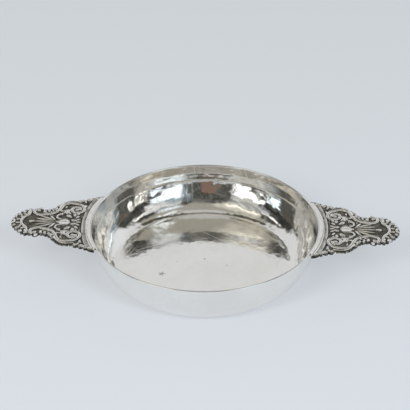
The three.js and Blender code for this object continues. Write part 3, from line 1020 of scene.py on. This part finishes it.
def volute_route():
    """The spiral at the ribbon's start, from its inner end."""
    part = np.arange(VOLUTE["steps"]) / VOLUTE["steps"]
    turns, radii = (low + (high - low) * part for low, high in (VOLUTE["turns"], VOLUTE["radii"]))
    return VOLUTE["centre"] + polar(-np.radians(turns), radii)


def closed_section(name, points):
    return mesh_object(name, at_height(points), chain(len(points), closed=True))


def ribbon_section(width, ear):
    """A ribbon's section: rounded raised edges and a hollow between. Y points down in a sweep."""
    t = np.linspace(-1, 1, 21)
    bead = RIBBON["bead"]
    hollow = ear.ribbon_groove * np.cos(np.pi / 2 * np.clip(np.abs(t) / bead, 0, 1)) ** 1.2
    shoulder = RIBBON["round_off"] * MM * (np.clip(np.abs(t) - bead, 0, 1) / (1 - bead)) ** 2
    top = np.column_stack([t * width / 2, hollow + shoulder])
    foot = [(side * width / 2 * RIBBON["spread"], RIBBON["foot"] * ear.relief) for side in (1, -1)]
    return closed_section("ribbon section", np.vstack([top, foot]))


def thread_section(radius):
    return closed_section("thread section", polar(np.linspace(0, math.tau, 14, endpoint=False), radius))


def paths_object(routes, height):
    """Open lines in one mesh, at one height."""
    points, edges = [], []
    for route in routes:
        edges += [(a + len(points), b + len(points)) for a, b in chain(len(route))]
        points += at_height(route, height).tolist()
    return mesh_object("routes", points, edges)


def crescent_edge(ear, width):
    """The far edge of a band that runs out at the root's corners."""
    corner, outer = root_corner(ear), RIM_RADIUS + width
    middle = (outer**2 - corner @ corner) / (2 * (outer - corner[0]))
    spread = math.atan2(corner[1], corner[0] - middle)
    return arc((middle, 0), outer - middle, -spread, spread, 60)


def ledge_edge(ear, width):
    """The far edge of a ledge of even width, which runs out over its last stretch."""
    corner, outer = root_corner(ear), RIM_RADIUS + width
    spread = math.asin((ear.root_half_width - STEP_END * MM) / outer)
    return np.vstack([corner * [1, -1], arc((0, 0), outer, -spread, spread, 60), corner])


def band_object(name, ear, far, rise):
    """A plain band from under the rim to its far edge, whose rise is a share of the relief."""
    from_axis = np.hypot(*far.T)[:, None]
    near = far * (2 * RIM_RADIUS / from_axis - 1)
    foot = far * (1 + 0.35 * MM / from_axis)
    height = EAR_TOP - ear.relief * (1 - rise)
    rows = [(near, height), (far, height), (foot, height - ear.relief)]
    return mesh_object(name, np.vstack([at_height(*row) for row in rows]), [], quads(len(rows), len(far)))


def root_thread(ear):
    """The raised thread along the band, nearer to the rim at its ends."""
    middle, end = THREAD["offset"], THREAD["corner_offset"]
    spread = math.asin((ear.root_half_width - THREAD["inset"] * MM) / (RIM_RADIUS + middle * MM))
    turns = np.linspace(-spread, spread, 25)
    return polar(turns, RIM_RADIUS + (middle + (end - middle) * (turns / spread) ** 2) * MM)


def relief_object(ear, material):
    """Every raised form of the ear in one mesh, lying over the ground."""
    parts = [
        band_object("root band", ear, crescent_edge(ear, ear.root_band), BAND_RISE),
        band_object("root step", ear, ledge_edge(ear, ear.root_step), STEP_RISE),
    ]
    knobs = [(out, across, radius, radius, 0) for out, across, radius in KNOBS]
    scatter = scatter_tree()
    for rows, shape, height in (
        (FAN_RIBS, leaf_shape("fan rib"), ear.relief),
        (BUD, leaf_shape("bud"), ear.relief),
        ([*PETALS, *shell_petals()], leaf_shape("petal"), ear.leaf_height),
        ([*SPRIGS, *border_leaves(ear)], leaf_shape("curled leaf"), ear.leaf_height),
        (knobs, knob_shape(), ear.relief),
    ):
        points = set_points(rows, height, EAR_TOP - ear.relief)
        parts.append(placed("set leaves", grown(points, scatter, shape=shape, material=material)))
        removed(points, shape)

    ribbons = both_sides(plan([*volute_route(), *RIBBON_ROUTE]))
    collar = plan(COLLAR_ROUTE)
    collar = np.vstack([collar, (collar * [1, -1])[::-1]])
    curl = arc(INNER_CURL["centre"], INNER_CURL["radius"], *np.radians(INNER_CURL["turns"]), 9)
    threads = [root_thread(ear), *both_sides(plan(SHOULDER_ROUTE))]
    strip = strip_tree()
    for routes, section, sunk in (
        (ribbons, ribbon_section(ear.ribbon_width, ear), 0),
        ([collar], ribbon_section(ear.collar_width, ear), 0),
        (both_sides(plan(curl)), thread_section(ear.curl_radius), ear.curl_radius),
        (threads, thread_section(ear.thread_radius), ear.thread_radius),
    ):
        paths = paths_object(routes, EAR_TOP - sunk)
        mesh = grown(paths, strip, section=section, step=ear.grain, material=material)
        parts.append(placed("swept strips", mesh))
        removed(paths, section)
    with bpy.context.temp_override(active_object=parts[0], selected_editable_objects=parts):
        bpy.ops.object.join()
    return parts[0]


class ECUELLE_OT_ears(bpy.types.Operator):
    """Cast both ears: pierced plates with ribbons, leaves, petals and pearls"""

    bl_idname = "ecuelle.ears"
    bl_label = "Ears"

    def execute(self, context):
        scene = context.scene
        ear = scene.ecuelle_ear
        material = ear_silver(scene.ecuelle_silver)
        plate = ear_plate(ear, scene.ecuelle_bowl, material)
        relief = relief_object(ear, material)
        mesh = grown(
            plate, carve_tree(), relief=relief, ground=EAR_TOP - ear.relief, height=ear.relief,
            vein_size=ear.vein_size, vein_height=ear.vein_height, material=material,
        )
        removed(plate, relief)
        mesh.set_sharp_from_angle(angle=math.radians(75))
        pair_from(mesh, "cast_ear", "ear")
        return {"FINISHED"}


class ECUELLE_OT_solder(bpy.types.Operator):
    """Run the solder under each ear, in the corner with the lip"""

    bl_idname = "ecuelle.solder"
    bl_label = "Solder seams"

    def execute(self, context):
        bowl = context.scene.ecuelle_bowl
        steps, skin, unevenness = 90, 0.04 * MM, 0.12
        half_angle = math.asin(SEAM_HALF_WIDTH / RIM_RADIUS)
        heights = np.linspace(SEAM_BOTTOM, SEAM_TOP, 9)
        leg = SEAM_TOP - SEAM_BOTTOM
        lip = [outside_radius(bowl, z) for z in heights]
        fillet = leg * (1 - np.sqrt(np.maximum(1 - ((heights - SEAM_BOTTOM) / leg) ** 2, 0)))
        wander = np.random.default_rng(7).normal(0, 1, (steps, 2))
        wander = np.stack([np.convolve(w, np.ones(7) / 7, mode="same") for w in wander.T], axis=1)
        rows = []
        for turn, (low, out) in zip(np.linspace(-half_angle, half_angle, steps), wander):
            end = math.sqrt(max(1 - (turn / half_angle) ** 8, 0.02))
            bead = lip + fillet * end * (1 + unevenness * out) + skin * (1 + 0.5 * low)
            rows.append(np.column_stack([polar(turn, [*bead, lip[-1]]), [*heights, SEAM_TOP]]))
        ring = len(rows[0])
        last = (steps - 1) * ring
        ends = [tuple(range(ring)), tuple(range(last, last + ring))[::-1]]
        seam = mesh_object("seam", np.vstack(rows), [], quads(steps, ring, closed=True) + ends)
        mesh = seam.data
        mesh.materials.append(solder_silver(context.scene.ecuelle_silver))
        mesh.shade_smooth()
        removed(seam)
        pair_from(mesh, "solder_run", "solder_seam")
        return {"FINISHED"}


# Floor, light and camera.

# Pairs of greys that lie in patches over each side of the room.
ROOM = [(0.05, 0.05, 0.047), (0.20, 0.197, 0.182)]
ROOM_LOW = [(0.030, 0.031, 0.028), (0.085, 0.085, 0.075)]
ROOM_SIDES = [(0.30, 0.31, 0.315), (1.0, 1.0, 0.97)]
ROOM_STRIP = [(0.70, 0.71, 0.71), (1.3, 1.3, 1.25)]
ROOM_BEHIND = [(0.06, 0.062, 0.055), (0.15, 0.146, 0.132)]
CEILING = (0.36, 0.345, 0.30)
CEILING_AHEAD = (0.085, 0.081, 0.064)
SKYLIGHT = (0.52, 0.52, 0.495)
SKYLIGHT_RISE = 82
SKYLIGHT_EDGE = (math.cos(math.radians(15)), math.cos(math.radians(9)))
WALL = (0.69, 0.70, 0.705)
WALL_FOOT = (0.125, 0.12, 0.095)

# What stands in the room, as silver sees it: azimuth from the viewer and elevation in degrees, half the width
# and height over the distance, blur and colour.
CARDS = [
    (38, 24, 0.26, 0.26, 0.20, (0.26, 0.32, 0.36)),
    (-46, 26, 0.18, 0.18, 0.16, (0.36, 0.36, 0.34)),
    (-44, 20, 0.28, 0.14, 0.07, (0.56, 0.56, 0.53)),
    (-44, 6, 0.30, 0.20, 0.04, (1.9, 1.9, 1.86)),
    (42, 9, 0.28, 0.28, 0.09, (1.4, 1.6, 1.75)),
    (-50, 57, 0.36, 0.20, 0.10, (0.62, 0.60, 0.52)),
    (-52, 52, 0.26, 0.07, 0.05, (1.15, 1.1, 0.97)),
    (52, 53, 0.16, 0.09, 0.08, (0.95, 1.05, 1.12)),
    (98, 70, 0.16, 0.07, 0.04, (0.95, 1.0, 1.02)),
    (-106, 68, 0.12, 0.10, 0.05, (0.55, 0.52, 0.44)),
    (132, 32, 0.36, 0.24, 0.10, (0.76, 0.78, 0.80)),
    (-3, 15, 0.13, 0.10, 0.04, (0.22, 0.145, 0.112)),
]

# Soft boxes: azimuth from the viewer in degrees, and colour, then what both share.
SOFT_BOXES = {"soft box left": (-35, (1, 1, 1)), "soft box right": (38, (0.8, 0.9, 1))}
SOFT_BOX = {"width": 0.5, "height": 0.6, "elevation": 38, "distance": 1.6}
COVE = {"radius": 3.0, "bend": 0.25, "turn": 1.4, "lean": 0.02, "height": 0.42, "sides": 96}


def sight(azimuth, elevation):
    """The direction that lies at those angles. Azimuth 0 is the front."""
    level = math.cos(elevation)
    return Vector((math.sin(azimuth) * level, -math.cos(azimuth) * level, math.sin(elevation)))


def aimed(place, direction):
    """The matrix of a lamp or camera that looks in a direction."""
    return Matrix.Translation(place) @ direction.to_track_quat("-Z", "Y").to_matrix().to_4x4()


def studio_world():
    """A pale wall behind the object, a ceiling, a grey room, and the lamps and shades in it."""
    world = bpy.data.worlds.new("studio")
    bpy.context.scene.world = world
    world.use_nodes = True
    nodes = Nodes(world.node_tree)
    direction = nodes.add("ShaderNodeTexCoord")["Generated"]
    x, y, z = nodes.parts(direction)
    turn = nodes.math("ARCTAN2", nodes.math("ABSOLUTE", x), y)
    rise = nodes.math("ARCSINE", z)

    def over(value, low, high):
        """A mask that is one over the higher of two angles in degrees and nothing under the lower."""
        return nodes.ramp(value, math.radians(low), math.radians(high))

    def under(value, low, high):
        return nodes.ramp(value, math.radians(low), math.radians(high), 1.0, 0.0)

    patches = nodes.ramp(nodes.noise(direction, 4.5), 0.36, 0.64)
    tint = nodes.mix(patches, *ROOM)
    for shades, mask in (
        (ROOM_LOW, under(turn, 114, 124) * under(rise, 31, 38)),
        (ROOM_SIDES, over(turn, 102, 110) * under(turn, 144, 158) * over(rise, 20, 26) * under(rise, 40, 47)),
        (ROOM_BEHIND, over(turn, 148, 158) * under(rise, 40, 48)),
        (ROOM_STRIP, over(turn, 76, 84) * under(turn, 102, 112) * over(rise, 30, 34) * under(rise, 37, 40)),
        (ROOM_LOW, over(turn, 72, 80) * under(turn, 106, 116) * over(rise, 37, 40) * under(rise, 50, 56)),
    ):
        tint = nodes.mix(mask, tint, nodes.mix(patches, *shades))
    overhead = nodes.dot(direction, sight(math.pi, math.radians(SKYLIGHT_RISE)))
    for shade, mask in (
        (CEILING, over(rise, 46, 58)),
        (CEILING_AHEAD, over(rise, 52, 58) * under(turn, 52, 66)),
        (SKYLIGHT, nodes.ramp(overhead, *SKYLIGHT_EDGE)),
        (WALL, under(rise, 51, 57) * under(turn, 66, 74)),
        (WALL_FOOT, under(rise, 24, 26) * under(turn, 22, 30)),
        (WALL_FOOT, under(rise, 18, 20) * under(turn, 46, 54)),
    ):
        tint = nodes.mix(mask, tint, shade)
    for azimuth, elevation, half_width, half_height, blur, card_tint in CARDS:
        azimuth, elevation, quarter = math.radians(azimuth), math.radians(elevation), math.pi / 2
        axes = sight(azimuth, elevation), sight(azimuth + quarter, 0), sight(azimuth, elevation + quarter)
        ahead, across, above = (nodes.dot(direction, axis) for axis in axes)
        shown = nodes.ramp(ahead, 0.2, 0.3)
        for along, half in ((across, half_width), (above, half_height)):
            place = nodes.math("ABSOLUTE", along / nodes.math("MAXIMUM", ahead, 0.1))
            shown = shown * nodes.ramp(place, half - blur, half + blur, 1.0, 0.0)
        tint = nodes.mix(shown, tint, card_tint)
    nodes.fill("Background", color=tint)


def soft_box(name, azimuth, tint, power):
    """A large lamp over the object, which silver doesn't mirror."""
    light = bpy.data.lights.new(name, "AREA")
    light.shape = "RECTANGLE"
    light.size, light.size_y = SOFT_BOX["width"], SOFT_BOX["height"]
    light.energy, light.color = power, tint
    lamp = placed(name, light)
    lamp.visible_glossy = False
    place = SOFT_BOX["distance"] * sight(math.radians(azimuth), math.radians(SOFT_BOX["elevation"]))
    lamp.matrix_world = aimed(place, -place)


def floor_with_cove(looks):
    """A round paper floor whose far edge curves up into a low wall, so that it is pale from every side."""
    bend, flat = COVE["bend"], -math.pi / 2
    cove = arc((COVE["radius"] - bend, bend), bend, flat, flat + COVE["turn"], 9)
    line = np.vstack([(0, 0), cove, (cove[-1][0] + COVE["lean"], COVE["height"])])
    floor = turned_shape("paper floor", line, COVE["sides"])
    floor.data.materials.append(paper(looks))
    floor.data.shade_smooth()


def add_camera(looks):
    """The photograph's viewpoint. The rim's middle falls at its measured place in the 410 pixel frame."""
    frame_width, focal_pixels, sensor = 410, 1705.4, 36.0
    rim_pixel = (204.65, 224.43)
    camera = bpy.data.cameras.new("camera")
    camera.lens, camera.sensor_width = focal_pixels * sensor / frame_width, sensor
    viewer = placed("camera", camera)
    bpy.context.scene.camera = viewer
    towards = sight(looks.azimuth, looks.elevation)
    yaw, pitch = (math.atan((pixel - frame_width / 2) / focal_pixels) for pixel in rim_pixel)
    turn = Matrix.Rotation(yaw, 4, "Y") @ Matrix.Rotation(pitch, 4, "X")
    viewer.matrix_world = aimed(Vector((0, 0, RIM_TOP)) + looks.distance * towards, -towards) @ turn


class ECUELLE_OT_studio(bpy.types.Operator):
    """Lay the paper floor, light it and set the camera"""

    bl_idname = "ecuelle.studio"
    bl_label = "Studio"

    def execute(self, context):
        looks = context.scene.ecuelle_studio
        context.scene.view_settings.view_transform = "Standard"
        floor_with_cove(looks)
        studio_world()
        for name, (azimuth, tint) in SOFT_BOXES.items():
            soft_box(name, azimuth, tint, looks.lamp_power)
        add_camera(looks)
        return {"FINISHED"}


class ECUELLE_PT_panel(bpy.types.Panel):
    """Lists the operators, in the order in which they are run"""

    bl_idname = "ECUELLE_PT_panel"
    bl_label = "Ecuelle"
    bl_space_type = "VIEW_3D"
    bl_region_type = "UI"
    bl_category = "Ecuelle"

    def draw(self, context):
        for operator in OPERATORS:
            self.layout.operator(operator.bl_idname)
        for group in SETTINGS:
            box = self.layout.box()
            box.label(text=group.replace("ecuelle_", "").capitalize())
            values = getattr(context.scene, group)
            for name in values.__annotations__:
                box.prop(values, name)


SETTINGS = {
    "ecuelle_bowl": BowlSizes,
    "ecuelle_ear": EarSizes,
    "ecuelle_silver": SilverLooks,
    "ecuelle_studio": StudioLooks,
}
OPERATORS = [ECUELLE_OT_bowl, ECUELLE_OT_ears, ECUELLE_OT_solder, ECUELLE_OT_studio]
CLASSES = [*SETTINGS.values(), *OPERATORS, ECUELLE_PT_panel]


def register():
    for cls in CLASSES:
        bpy.utils.register_class(cls)
    for name, group in SETTINGS.items():
        setattr(bpy.types.Scene, name, PointerProperty(type=group))


def unregister():
    for name in SETTINGS:
        delattr(bpy.types.Scene, name)
    for cls in reversed(CLASSES):
        bpy.utils.unregister_class(cls)


def main():
    register()
    bpy.ops.ecuelle.bowl()
    bpy.ops.ecuelle.ears()
    bpy.ops.ecuelle.solder()
    bpy.ops.ecuelle.studio()


if __name__ == "__main__":
    main()
